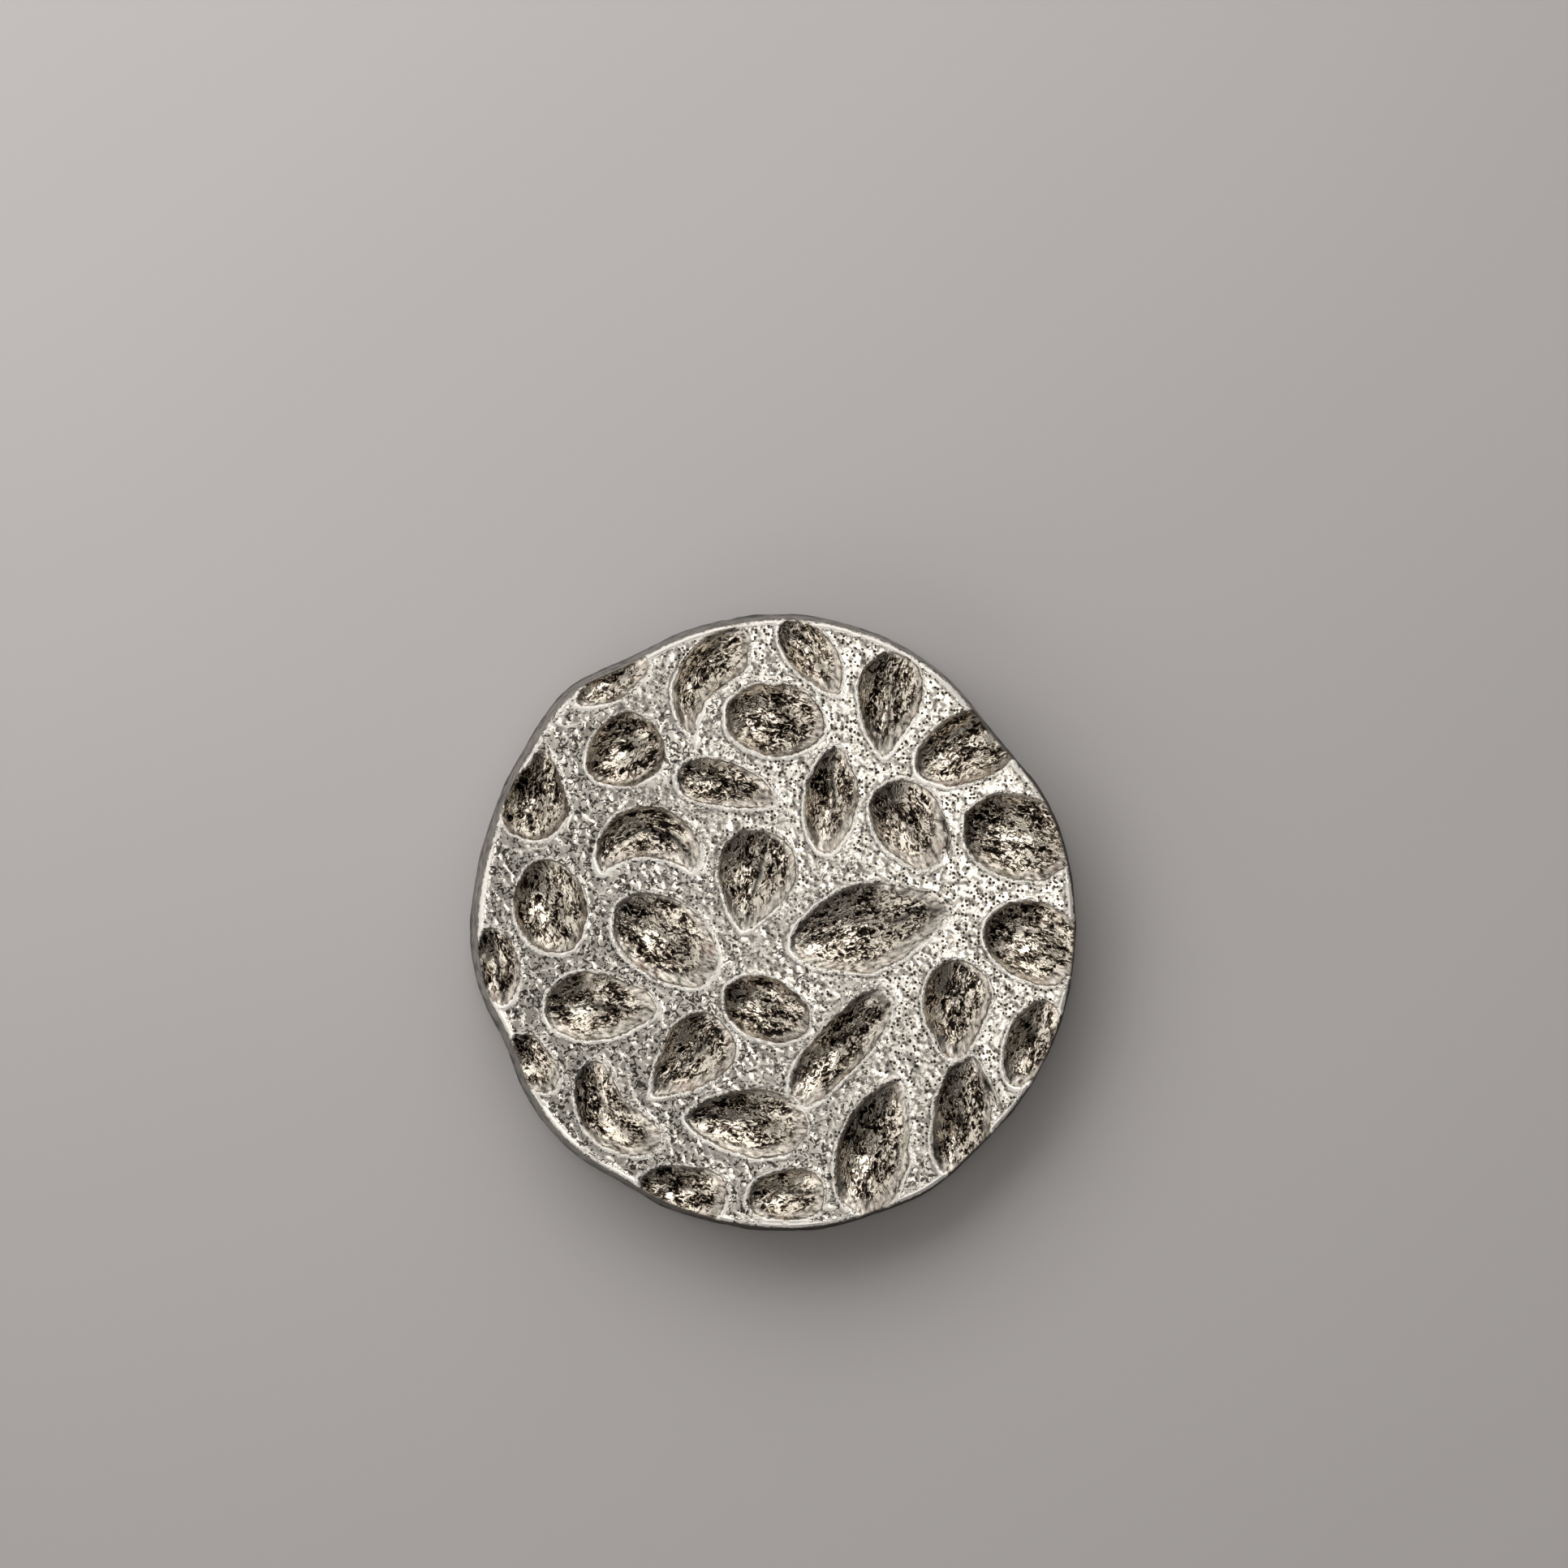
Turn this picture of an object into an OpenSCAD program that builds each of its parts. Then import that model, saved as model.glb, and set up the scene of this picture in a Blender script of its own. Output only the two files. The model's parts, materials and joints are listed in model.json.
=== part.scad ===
// A cast metal garment button with an organic recessed face. The head is hollow at the back. A stamped
// plate closes the hollow, and a wire loop for the thread is held on the plate by a riveted saddle.
// The loop folds flat to either side. Sizes are in millimetres and turns in degrees.
// z = 0 is the plane that the rim stands on, and the face looks up.

/* [Head] */
// Mean diameter of the head at its widest line
head_d = 23.3; // [22:0.1:24]
// Height of the face above the plane that the rim stands on
head_h = 3.2; // [3.2:0.1:3.6]
// How far the side leans in between its widest line and the face
side_draft = 0.4; // [0.1:0.05:0.5]
// Radius of the worn edge of the face
edge_round = 0.15; // [0.1:0.05:0.4]
// Height of the widest line of the side
widest_z = 0.75; // [0.6:0.05:1]
// Rings of facets from the centre of the face to its edge
face_rings = 26; // [20:1:28]

/* [Recesses] */
// Depth of the wide recesses
recess_depth = 0.7; // [0.4:0.05:0.7]
// Most depth that a narrow recess has, as a share of its width
narrow_share = 0.32; // [0.2:0.02:0.4]
// How steep the recess walls are: 1.6 is nearly a V, 2 a bowl and 3 a flat floor with steep walls
wall_curve = 2.2; // [1.6:0.1:3]

/* [Back] */
// Radius of the back plate
plate_r = 8.9; // [8.6:0.05:9]
// Thickness of the back plate
plate_t = 0.35; // [0.3:0.05:0.4]
// Height of the underside of the back plate above the rim's plane
plate_z = 1.35; // [1.35:0.05:1.45]
// Thickness of the filler card between the plate and the face
card_t = 0.35; // [0.3:0.05:0.4]
// Radius of the mouth of the hollow at the rim
mouth_r = 9.9; // [9.7:0.05:10.1]

/* [Loop] */
// Diameter of the loop's wire
wire_d = 0.9; // [0.8:0.05:0.9]
// Distance between the centre lines of the loop's two legs
loop_w = 5.2; // [5:0.1:6]
// Distance from the hinge line to the far end of the loop's centre line
loop_reach = 5.2; // [5:0.1:6.4]
// Radius of the loop's two inner corners, at the centre line
corner_r = 0.8; // [0.7:0.05:1]
// Gap between the butted ends of the wire, inside the saddle
wire_gap = 0.1; // [0.05:0.05:0.2]

/* [Saddle] */
// Thickness of the saddle's sheet
saddle_t = 0.3; // [0.25:0.05:0.3]
// Width of the saddle across the loop's legs
saddle_w = 2.8; // [2.4:0.1:2.8]
// Gap all round the wire inside the saddle
saddle_gap = 0.05; // [0.04:0.01:0.07]
// Distance between the centres of the two rivets
rivet_span = 3.8; // [3.8:0.1:4.2]
// Diameter of the rivets' shanks
shank_d = 1; // [0.8:0.05:1]
// Diameter of the rivets' heads
rivet_head_d = 1.7; // [1.4:0.1:1.8]

/* [Hidden] */
$fn = 64;

// The head that the pattern is drawn for, the scale to the head that is built, and how far the
// pattern's centre is from the middle of the casting
PATTERN_D = 23.3;
PATTERN_SHIFT = [0.08, 0.12];
pattern_scale = head_d / PATTERN_D;

// Where the cast edge stands out or falls in: [direction, how far out, half width of the swell]
EDGE_SWELLS = [
    [12, -0.06, 18], [40, -0.45, 13], [84, 0.22, 22], [118, -0.1, 7], [132, 0.3, 9], [165, -0.12, 16],
    [204, -0.38, 10], [228, 0.04, 9], [240, -0.14, 7], [280, 0.2, 18], [301, 0.18, 8], [330, 0.04, 14]
];

// The recesses in the face: [x, y, length, width, turn of the length, bend of the length, start, end].
// A bent recess is convex to the left of its own direction. The last two numbers shape its ends:
// 1.2 is a point, 2 is round and 3 is blunt.
RECESSES = [
    [-6.15, 9.05, 3.2, 1.4, 33, 0, 1.6, 2],
    [-2.87, 9.19, 4.6, 1.95, 57, 105, 1.4, 3],
    [0, 7.6, 3.8, 2.8, -8, 0, 2, 2],
    [1.45, 10.02, 3.5, 1.8, -52, 25, 2, 1.6],
    [4.26, 8.18, 3.95, 2.5, 80, 25, 1.35, 2.3],
    [7.5, 6.68, 4.7, 2.65, 25, 0, 2, 2],
    [-5.7, 6.42, 3.1, 2.75, 30, 0, 1.7, 2.4],
    [-1.75, 5.17, 3.85, 1.75, -14, 15, 2.6, 1.7],
    [2.12, 4.6, 4.05, 2.05, 84, 0, 1.7, 1.7],
    [5.1, 3.63, 3.75, 2.65, -62, 0, 2.2, 1.7],
    [9.2, 3.2, 4.35, 3.25, -18, 0, 2, 2],
    [-8.97, 4.78, 3.5, 2.5, 80, 0, 2.2, 1.3],
    [-4.79, 3.38, 4.9, 1.95, 0, 165, 1.7, 1.7],
    [-0.78, 1.52, 3.95, 3.1, 76, 0, 1.35, 2.2],
    [3.6, -0.18, 6.3, 3.4, 14, 0, 1.7, 1.5],
    [-8.45, 0.57, 3.65, 2.75, -78, 0, 2, 2],
    [-4.12, -0.67, 4.5, 3, -36, 0, 2.1, 2.1],
    [-10.48, -1.65, 3, 1.7, -80, 0, 1.9, 1.9],
    [9.75, -0.75, 3.85, 3.05, -22, 0, 2, 2.3],
    [-6.5, -3.2, 4.35, 2.6, -1, 0, 2.2, 1.5],
    [-0.3, -3.3, 3.5, 2.3, -22, 0, 2.1, 2],
    [6.82, -3.36, 3.85, 2.6, 83, 24, 1.45, 2.3],
    [2.5, -4.7, 5.4, 1.85, 49, 0, 2.8, 2.8],
    [9.72, -4.6, 3.55, 2.05, 66, 0, 1.8, 2.1],
    [-3.25, -5.2, 3.85, 2.7, 44, 0, 1.35, 2.5],
    [-9.1, -5.35, 2.6, 1.65, -53, 0, 1.8, 1.8],
    [-6.28, -7.35, 4.55, 1.9, -50, -118, 2.2, 2.2],
    [-1.1, -7.55, 4.75, 2.7, -5, 0, 1.45, 2.2],
    [3.75, -8.45, 5.35, 2.85, 76, 28, 2.1, 1.5],
    [7.08, -7.35, 4.6, 2.25, 84, 0, 2.6, 2],
    [-3.5, -10.15, 3.4, 2.05, -10, 0, 2, 3],
    [0.42, -10.3, 3.05, 1.95, 8, 0, 2, 2.5]
];

// How far the widest point of a recess moves towards its rounder end, as a share of its length
END_PULL = 0.12;

// The hollow of the head, worked out from the plate and the card that it holds
plate_top_z = plate_z + plate_t;
hollow_top_z = plate_top_z + card_t;
seat_w = 0.3;           // shoulder under the plate's edge, and the staked lip over it
plate_clearance = 0.05; // between the plate's edge and the casting
card_clearance = 0.1;   // between the card and the wall of the hollow
card_r = plate_r - seat_w - card_clearance;
lip_h = 0.2;            // height of the staked lip
lip_slope = 0.25;       // height over which the lip runs out into the wall
rim_bevel = 0.25;       // how far the rim's foot is inside the widest line
band_h = 0.25;          // height of the upright band at the widest line

// The hinge line of the loop, and the turn that lays the loop's far end on the rim's plane
wire_r = wire_d / 2;
hinge_z = plate_z - saddle_gap - wire_r;
tunnel_r = wire_r + saddle_gap;
rest_drop = asin((hinge_z - wire_r) / loop_reach);

// The rivets: a tapered head below the saddle and a clenched end above the plate
hole_clearance = 0.02;   // between a rivet's shank and its hole
rivet_head_h = 0.28;
rivet_head_taper = 0.5;  // how much narrower the head is at its lower end
clench_h = 0.25;
clench_taper = 0.3;
card_hole_gap = 0.15;    // all round a clenched end
card_hole_d = rivet_head_d + 2 * card_hole_gap;

// The saddle's foot ends are round, and the rivets sit a little outside their centres
rivet_outset = 0.3;
foot_y = rivet_span / 2 - rivet_outset;
foot_end = foot_y + saddle_w / 2;
crown_r = tunnel_r + saddle_t;

CUT = 1;       // how far a cut runs past the face that it opens
WIRE_FN = 32;  // facets around the wire

function bump(turn, swell) =
    let(away = (turn - swell[0] + 540) % 360 - 180) swell[1] * exp(-pow(away / swell[2], 2));

// Radius of the head's widest line in the direction turn
function edge_r(turn) = head_d / 2 + pattern_scale * vsum([for (swell = EDGE_SWELLS) bump(turn, swell)]);

function vsum(list, i = 0) = i < len(list) ? list[i] + vsum(list, i + 1) : 0;

// The place of point p measured along and across a recess, around its bend if it has one
function in_recess(p, recess) =
    let(
        away = p / pattern_scale - PATTERN_SHIFT - [recess[0], recess[1]],
        along = away[0] * cos(recess[4]) + away[1] * sin(recess[4]),
        across = away[1] * cos(recess[4]) - away[0] * sin(recess[4]),
        bend = recess[5]
    )
    bend == 0 ? [along, across] :
    let(
        r = recess[2] * 180 / PI / bend,
        side = sign(r)
    )
    [r * atan2(side * along, side * (across + r)) * PI / 180, side * norm([along, across + r]) - r];

// 0 at the middle of a recess, 1 at its edge and more outside it
function reach(p, recess) =
    let(
        place = in_recess(p, recess),
        widest = END_PULL * recess[2] * (recess[7] - recess[6]),
        forward = place[0] > widest,
        half = recess[2] / 2 + (forward ? -widest : widest),
        shape = forward ? recess[7] : recess[6],
        along = abs(place[0] - widest) / half,
        across = abs(place[1]) / (recess[3] / 2)
    )
    pow(pow(along, shape) + pow(across, shape), 1 / shape);

// Depth of one recess at p. The wall is steepest at the edge and runs out into the floor.
function depth_in(p, recess) =
    min(recess_depth, narrow_share * recess[3]) * (1 - pow(min(1, reach(p, recess)), wall_curve));

function face_depth(p) = max([for (recess = RECESSES) depth_in(p, recess)]);

// How far the worn edge has dropped at this distance inside the outline of the face
function edge_drop(inside) =
    inside >= edge_round ? 0 : edge_round - sqrt(pow(edge_round, 2) - pow(edge_round - inside, 2));

function face_point(ring, step) =
    let(
        turn = 60 * step / ring,
        rim = edge_r(turn) - side_draft,
        r = rim * ring / face_rings,
        p = r * [cos(turn), sin(turn)]
    )
    [p[0], p[1], head_h - max(face_depth(p), edge_drop(rim - r))];

// Sextant s of the strip between rings n - 1 and n of the face, as triangles of point numbers
function ring_start(n) = n == 0 ? 0 : 1 + 3 * n * (n - 1);
function on_ring(n, step) = n == 0 ? 0 : ring_start(n) + step % (6 * n);
function face_strip(n, s) = [
    for (k = [0 : n - 1]) [on_ring(n, s * n + k), on_ring(n - 1, s * (n - 1) + k), on_ring(n, s * n + k + 1)],
    for (k = [0 : 1 : n - 2])
        [on_ring(n - 1, s * (n - 1) + k), on_ring(n - 1, s * (n - 1) + k + 1), on_ring(n, s * n + k + 1)]
];

// The cast head: the face, the side, the rim and the hollow with its shoulder and staked lip
module face_casting() {
    around = 6 * face_rings;
    wall_r = plate_r + plate_clearance;
    shoulder_r = plate_r - seat_w;
    // Rings that follow the cast outline: [distance inside it, height]
    outer = [[0, widest_z + band_h / 2], [0, widest_z - band_h / 2], [rim_bevel, 0]];
    // Round rings from the mouth of the hollow to its top: [radius, height]
    inner = [
        [mouth_r, 0], [wall_r, plate_z - lip_h - lip_slope], [shoulder_r, plate_z - lip_h],
        [shoulder_r, plate_z], [wall_r, plate_z], [wall_r, plate_top_z],
        [shoulder_r, plate_top_z], [shoulder_r, hollow_top_z]
    ];
    strips = len(outer) + len(inner);
    top_last = ring_start(face_rings);
    points = [
        [0, 0, head_h - face_depth([0, 0])],
        for (n = [1 : face_rings]) for (step = [0 : 6 * n - 1]) face_point(n, step),
        for (ring = outer) for (step = [0 : around - 1])
            let(turn = 360 * step / around, r = edge_r(turn) - ring[0]) [r * cos(turn), r * sin(turn), ring[1]],
        for (ring = inner) for (step = [0 : around - 1])
            let(turn = 360 * step / around) [ring[0] * cos(turn), ring[0] * sin(turn), ring[1]],
        [0, 0, hollow_top_z]
    ];
    faces = [
        for (n = [1 : face_rings]) for (s = [0 : 5]) each face_strip(n, s),
        for (strip = [0 : strips - 1]) for (step = [0 : around - 1])
            let(
                a = top_last + strip * around + step,
                b = top_last + strip * around + (step + 1) % around
            )
            each [[a, b, b + around], [a, b + around, a + around]],
        for (step = [0 : around - 1])
            let(last = top_last + strips * around)
            [last + step, last + (step + 1) % around, len(points) - 1]
    ];
    color("silver") polyhedron(points, faces);
}

// Two rivet places on the line across the hinge
module at_rivets() {
    for (side = [-1, 1]) translate([0, side * rivet_span / 2, 0]) children();
}

// Packing card that keeps the plate from rattling, with holes round the rivets' clenched ends
module filler_card() {
    color("tan") difference() {
        translate([0, 0, plate_top_z]) cylinder(r = card_r, h = card_t);
        at_rivets() translate([0, 0, plate_top_z - CUT]) cylinder(d = card_hole_d, h = card_t + 2 * CUT);
    }
}

module back_plate() {
    color("lightgray") difference() {
        translate([0, 0, plate_z]) cylinder(r = plate_r, h = plate_t);
        at_rivets() translate([0, 0, plate_z - CUT])
            cylinder(d = shank_d + 2 * hole_clearance, h = plate_t + 2 * CUT);
    }
}

// Stamped strap that crosses under the loop's hinge bar. Its two rounded feet lie on the back plate.
module loop_saddle() {
    color("darkgray") difference() {
        intersection() {
            rotate([90, 0, 90]) translate([0, 0, -saddle_w / 2]) linear_extrude(saddle_w) difference() {
                union() {
                    translate([-foot_end, plate_z - saddle_t]) square([2 * foot_end, saddle_t]);
                    translate([-crown_r, hinge_z]) square([2 * crown_r, plate_z - hinge_z]);
                    translate([0, hinge_z]) circle(crown_r);
                }
                translate([0, hinge_z]) circle(tunnel_r);
                translate([-tunnel_r, hinge_z]) square([2 * tunnel_r, plate_z]);
            }
            union() {
                translate([-saddle_w / 2, -foot_y, 0]) cube([saddle_w, 2 * foot_y, plate_z]);
                for (side = [-1, 1]) translate([0, side * foot_y, 0]) cylinder(d = saddle_w, h = plate_z);
            }
        }
        at_rivets() cylinder(d = shank_d + 2 * hole_clearance, h = plate_z);
    }
}

// Two rivets: a tapered head under the saddle, and a clenched end above the plate
module saddle_rivets() {
    saddle_z = plate_z - saddle_t;
    color("gray") at_rivets() union() {
        translate([0, 0, saddle_z]) cylinder(d = shank_d, h = plate_top_z - saddle_z);
        translate([0, 0, saddle_z - rivet_head_h])
            cylinder(d1 = rivet_head_d - rivet_head_taper, d2 = rivet_head_d, h = rivet_head_h);
        translate([0, 0, plate_top_z])
            cylinder(d1 = rivet_head_d, d2 = rivet_head_d - clench_taper, h = clench_h);
    }
}

// One bend of the loop's wire, turning anticlockwise from the direction start
module wire_bend(r, start, turn) {
    rotate([0, 0, start]) rotate_extrude(angle = turn) translate([r, 0]) circle(wire_r, $fn = WIRE_FN);
}

// The thread loop: a wire D whose straight side is the hinge bar, with its ends butted in the saddle
module swing_loop() {
    leg_x = loop_w / 2;
    bar_end = leg_x - corner_r;
    bow_y = loop_reach - leg_x;
    color("gainsboro") translate([0, 0, hinge_z]) rotate([-rest_drop, 0, 0]) {
        for (side = [0, 1]) mirror([side, 0, 0]) {
            translate([wire_gap / 2, 0, 0]) rotate([0, 90, 0])
                cylinder(r = wire_r, h = bar_end - wire_gap / 2, $fn = WIRE_FN);
            translate([bar_end, corner_r, 0]) wire_bend(corner_r, -90, 90);
            translate([leg_x, corner_r, 0]) rotate([-90, 0, 0])
                cylinder(r = wire_r, h = bow_y - corner_r, $fn = WIRE_FN);
        }
        translate([0, bow_y, 0]) wire_bend(leg_x, 0, 180);
    }
}

face_casting();
filler_card();
back_plate();
loop_saddle();
saddle_rivets();
swing_loop();
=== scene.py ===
import json
import math

import bpy
import numpy as np
from mathutils import Matrix, Vector


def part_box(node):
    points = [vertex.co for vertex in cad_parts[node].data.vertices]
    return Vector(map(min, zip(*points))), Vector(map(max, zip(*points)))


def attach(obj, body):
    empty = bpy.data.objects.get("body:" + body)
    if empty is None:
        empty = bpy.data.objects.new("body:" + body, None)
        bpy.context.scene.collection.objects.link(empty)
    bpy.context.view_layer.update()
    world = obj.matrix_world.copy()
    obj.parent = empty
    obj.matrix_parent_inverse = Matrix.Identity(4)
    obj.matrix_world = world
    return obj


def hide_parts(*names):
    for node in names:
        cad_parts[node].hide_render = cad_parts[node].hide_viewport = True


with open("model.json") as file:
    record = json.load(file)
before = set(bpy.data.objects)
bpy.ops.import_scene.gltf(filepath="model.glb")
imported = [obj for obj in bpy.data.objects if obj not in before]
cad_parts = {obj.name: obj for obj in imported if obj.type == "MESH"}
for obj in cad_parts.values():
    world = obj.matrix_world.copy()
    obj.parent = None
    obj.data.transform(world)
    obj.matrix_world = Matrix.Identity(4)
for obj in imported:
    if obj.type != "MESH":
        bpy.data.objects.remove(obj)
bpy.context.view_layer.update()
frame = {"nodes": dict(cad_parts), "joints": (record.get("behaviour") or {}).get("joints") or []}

MM = 0.001

# ---------------------------------------------------------------- sizes shared with the CAD, in mm

def corners(node):
    """The low and the high corner of a CAD node's box, in mm."""
    return tuple(np.array(corner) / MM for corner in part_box(node))


head_high = corners("face_casting")[1]
plate_low, plate_high = corners("back_plate")
saddle_high = corners("loop_saddle")[1]
rivets_low, rivets_high = corners("saddle_rivets")
hinge = Vector(frame["joints"][0]["pos_m"]) / MM

HEAD_H = head_high[2]
HEAD_R = 23.3 / 2           # mean radius at the widest line
WIDEST_Z = 0.75
EDGE_ROUND = 0.15
BEVEL = 0.38                # how far the rim's foot is inside the widest line
MOUTH_R = 9.9
STAKES = 12                 # places where the lip is pressed over the plate
PLATE_R = plate_high[0]
PLATE_Z, PLATE_TOP_Z = plate_low[2], plate_high[2]
PLATE_GAP = 0.05
PRESSED_RINGS = ((7.2, 0.07, 0.28), (4.3, 0.04, 0.2))  # radius, height and half width, looks only
SEAT_W = 0.3
CARD_T = 0.35
HOLLOW_TOP_Z = PLATE_TOP_Z + CARD_T
WIRE_R = 0.45
LOOP_W = 5.2
LOOP_REACH = 5.2
CORNER_R = 0.8
WIRE_GAP = 0.1
SADDLE_T = 0.3
SADDLE_GAP = 0.05
RIVET_Y = 1.9
RIVET_SHANK_R = 0.5
RIVET_HEAD_R = rivets_high[0]
RIVET_END_R = 0.84

# ---------------------------------------------------------------- the look of the head, in mm

SIDE_DRAFT = 0.34           # mean lean of the side from its widest line in to the face
DRAFT_SWING = 0.12          # the casting leans in more on one side, as its halves met a little out of line
DRAFT_SWING_TO = math.radians(195)
LIT_SIDE_TO = math.radians(25)     # the side of the face that is painted brightest: painted highlight there, painted shade on the far side
SHADED_SIDE_TO = math.radians(-35)     # the side of the edge that is painted darkest, a painted shade

RECESS_DEPTH = 0.75
NARROW_SHARE = 0.34         # most depth that a narrow recess has, as a share of its width
END_PULL = 0.12             # moves a recess's widest place to its blunter end, by this share of its length
WALL_CURVE = 4              # the steep wall just inside a recess's edge
DEEP_KEEL, KEEL_CURVE = 0.85, 1.35    # the V of its floor, with a crease along the middle
ROUND_KEEL, ROUND_CURVE = 0.65, 1.8   # the floor of a wide recess, rounder
ROUND_RECESSES = (0, 2, 5, 6, 10, 11, 15, 18, 20)  # places in RECESSES of the rounder ones
SMOOTH_WALLS_TO = math.radians(-50)   # the walls on this side of a recess are smooth the furthest down
CREASE_W = 0.09
CREASE_WANDER = 0.15
RAGGED = ((0.06, 0.6, 1, 3), (0.025, 0.22, 2, 4))  # how far edges stray, how often, and two seeds

LIP_HEIGHT = 0.055
LIP_OUT, LIP_W = 0.04, 0.055          # the lip round a recess: distance out from its edge, and half width
EDGE_LIP_IN, EDGE_LIP_W = 0.14, 0.09  # the same round the face, inside its edge
LIPS_TO = math.radians(245)           # the lips on this side of a recess stand out most and are painted brightest, partly a painted highlight

PATTERN_SHIFT = (0.08, 0.12)          # from the centre of the casting to the pattern's

# Where the cast edge stands out or falls in: direction in degrees, how far out, half width in degrees
EDGE_SWELLS = [
    (12, -0.06, 18), (40, -0.45, 13), (84, 0.22, 22), (118, -0.1, 7), (132, 0.3, 9), (165, -0.12, 16),
    (204, -0.38, 10), (228, 0.04, 9), (240, -0.14, 7), (280, 0.2, 18), (301, 0.18, 8), (330, 0.04, 14),
]

# The recesses: x, y, length, width, turn and bend of the length in degrees, and the shapes of the start
# and the end, where 1.2 is a point, 2 is round and 3 is blunt
RECESSES = [
    (-6.15, 9.05, 3.2, 1.4, 33, 0, 1.6, 2),
    (-2.87, 9.19, 4.6, 1.95, 57, 105, 1.4, 3),
    (0, 7.6, 3.8, 2.8, -8, 0, 2, 2),
    (1.45, 10.02, 3.5, 1.8, -52, 25, 2, 1.6),
    (4.26, 8.18, 3.95, 2.5, 80, 25, 1.35, 2.3),
    (7.5, 6.68, 4.7, 2.65, 25, 0, 2, 2),
    (-5.7, 6.42, 3.1, 2.75, 30, 0, 1.7, 2.4),
    (-1.75, 5.17, 3.85, 1.75, -14, 15, 2.6, 1.7),
    (2.12, 4.6, 4.05, 2.05, 84, 0, 1.7, 1.7),
    (5.1, 3.63, 3.75, 2.65, -62, 0, 2.2, 1.7),
    (9.2, 3.2, 4.35, 3.25, -18, 0, 2, 2),
    (-8.97, 4.78, 3.5, 2.5, 80, 0, 2.2, 1.3),
    (-4.79, 3.38, 4.9, 1.95, 0, 165, 1.7, 1.7),
    (-0.78, 1.52, 3.95, 3.1, 76, 0, 1.35, 2.2),
    (3.6, -0.18, 6.3, 3.4, 14, 0, 1.7, 1.5),
    (-8.45, 0.57, 3.65, 2.75, -78, 0, 2, 2),
    (-4.12, -0.67, 4.5, 3, -36, 0, 2.1, 2.1),
    (-10.48, -1.65, 3, 1.7, -80, 0, 1.9, 1.9),
    (9.75, -0.75, 3.85, 3.05, -22, 0, 2, 2.3),
    (-6.5, -3.2, 4.35, 2.6, -1, 0, 2.2, 1.5),
    (-0.3, -3.3, 3.5, 2.3, -22, 0, 2.1, 2),
    (6.82, -3.36, 3.85, 2.6, 83, 24, 1.45, 2.3),
    (2.5, -4.7, 5.4, 1.85, 49, 0, 2.8, 2.8),
    (9.72, -4.6, 3.55, 2.05, 66, 0, 1.8, 2.1),
    (-3.25, -5.2, 3.85, 2.7, 44, 0, 1.35, 2.5),
    (-9.1, -5.35, 2.6, 1.65, -53, 0, 1.8, 1.8),
    (-6.28, -7.35, 4.55, 1.9, -50, -118, 2.2, 2.2),
    (-1.1, -7.55, 4.75, 2.7, -5, 0, 1.45, 2.2),
    (3.75, -8.45, 5.35, 2.85, 76, 28, 2.1, 1.5),
    (7.08, -7.35, 4.6, 2.25, 84, 0, 2.6, 2),
    (-3.5, -10.15, 3.4, 2.05, -10, 0, 2, 3),
    (0.42, -10.3, 3.05, 1.95, 8, 0, 2, 2.5),
]

# Thin dark grooves beside two of the recesses, in the same form; their black is old patina and painted shade
GROOVES = [(7.95, -6, 2.6, 0.22, -63, 0, 2, 2), (6.4, 3.5, 2.7, 0.2, -75, 25, 2, 2)]
GROOVE_DEPTH = 0.1


# ---------------------------------------------------------------- noise

LATTICE = 64


def cloud(points, cell, seed):
    """Smooth noise from -1 to 1 at each point, with swells about one cell wide."""
    table = np.random.default_rng(seed).random((LATTICE, LATTICE, LATTICE)) * 2 - 1
    place = points / cell
    low = np.floor(place).astype(int)
    part = place - low
    part = part * part * (3 - 2 * part)
    total = np.zeros(len(points))
    for corner in np.ndindex(2, 2, 2):
        at = (low + corner) % LATTICE
        weight = np.prod(np.where(corner, part, 1 - part), axis=1)
        total += weight * table[at[:, 0], at[:, 1], at[:, 2]]
    return total


def smooth(low, high, value):
    t = np.clip((value - low) / (high - low), 0, 1)
    return t * t * (3 - 2 * t)


# ---------------------------------------------------------------- the relief of the head

def edge_radius(turn):
    """Radius of the widest line in the direction turn, in degrees."""
    r = np.full_like(turn, HEAD_R)
    for direction, out, spread in EDGE_SWELLS:
        away = (turn - direction + 540) % 360 - 180
        r += out * np.exp(-((away / spread) ** 2))
    return r


def side_draft(turn):
    """How far the edge of the face is inside the widest line in the direction turn, in degrees."""
    return SIDE_DRAFT + DRAFT_SWING * np.cos(np.radians(turn) - DRAFT_SWING_TO)


def in_recess(x, y, recess):
    """Distance along and across one recess, around its bend if it has one."""
    cx, cy, length, width, turn, bend, _, _ = recess
    c, s = math.cos(math.radians(turn)), math.sin(math.radians(turn))
    dx, dy = x - PATTERN_SHIFT[0] - cx, y - PATTERN_SHIFT[1] - cy
    along, across = dx * c + dy * s, dy * c - dx * s
    if not bend:
        return along, across
    r = length / math.radians(bend)
    side = math.copysign(1, r)
    return r * np.arctan2(side * along, side * (across + r)), side * np.hypot(along, across + r) - r


def reach(x, y, recess):
    """0 at the middle of a recess, 1 at its edge and more outside it."""
    along, across = in_recess(x, y, recess)
    _, _, length, width, _, _, start, end = recess
    widest = END_PULL * length * (end - start)
    forward = along > widest
    half = length / 2 + np.where(forward, -widest, widest)
    shape = np.where(forward, end, start)
    along, across = np.abs(along - widest) / half, np.abs(across) / (width / 2)
    return (along**shape + across**shape) ** (1 / shape)


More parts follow.
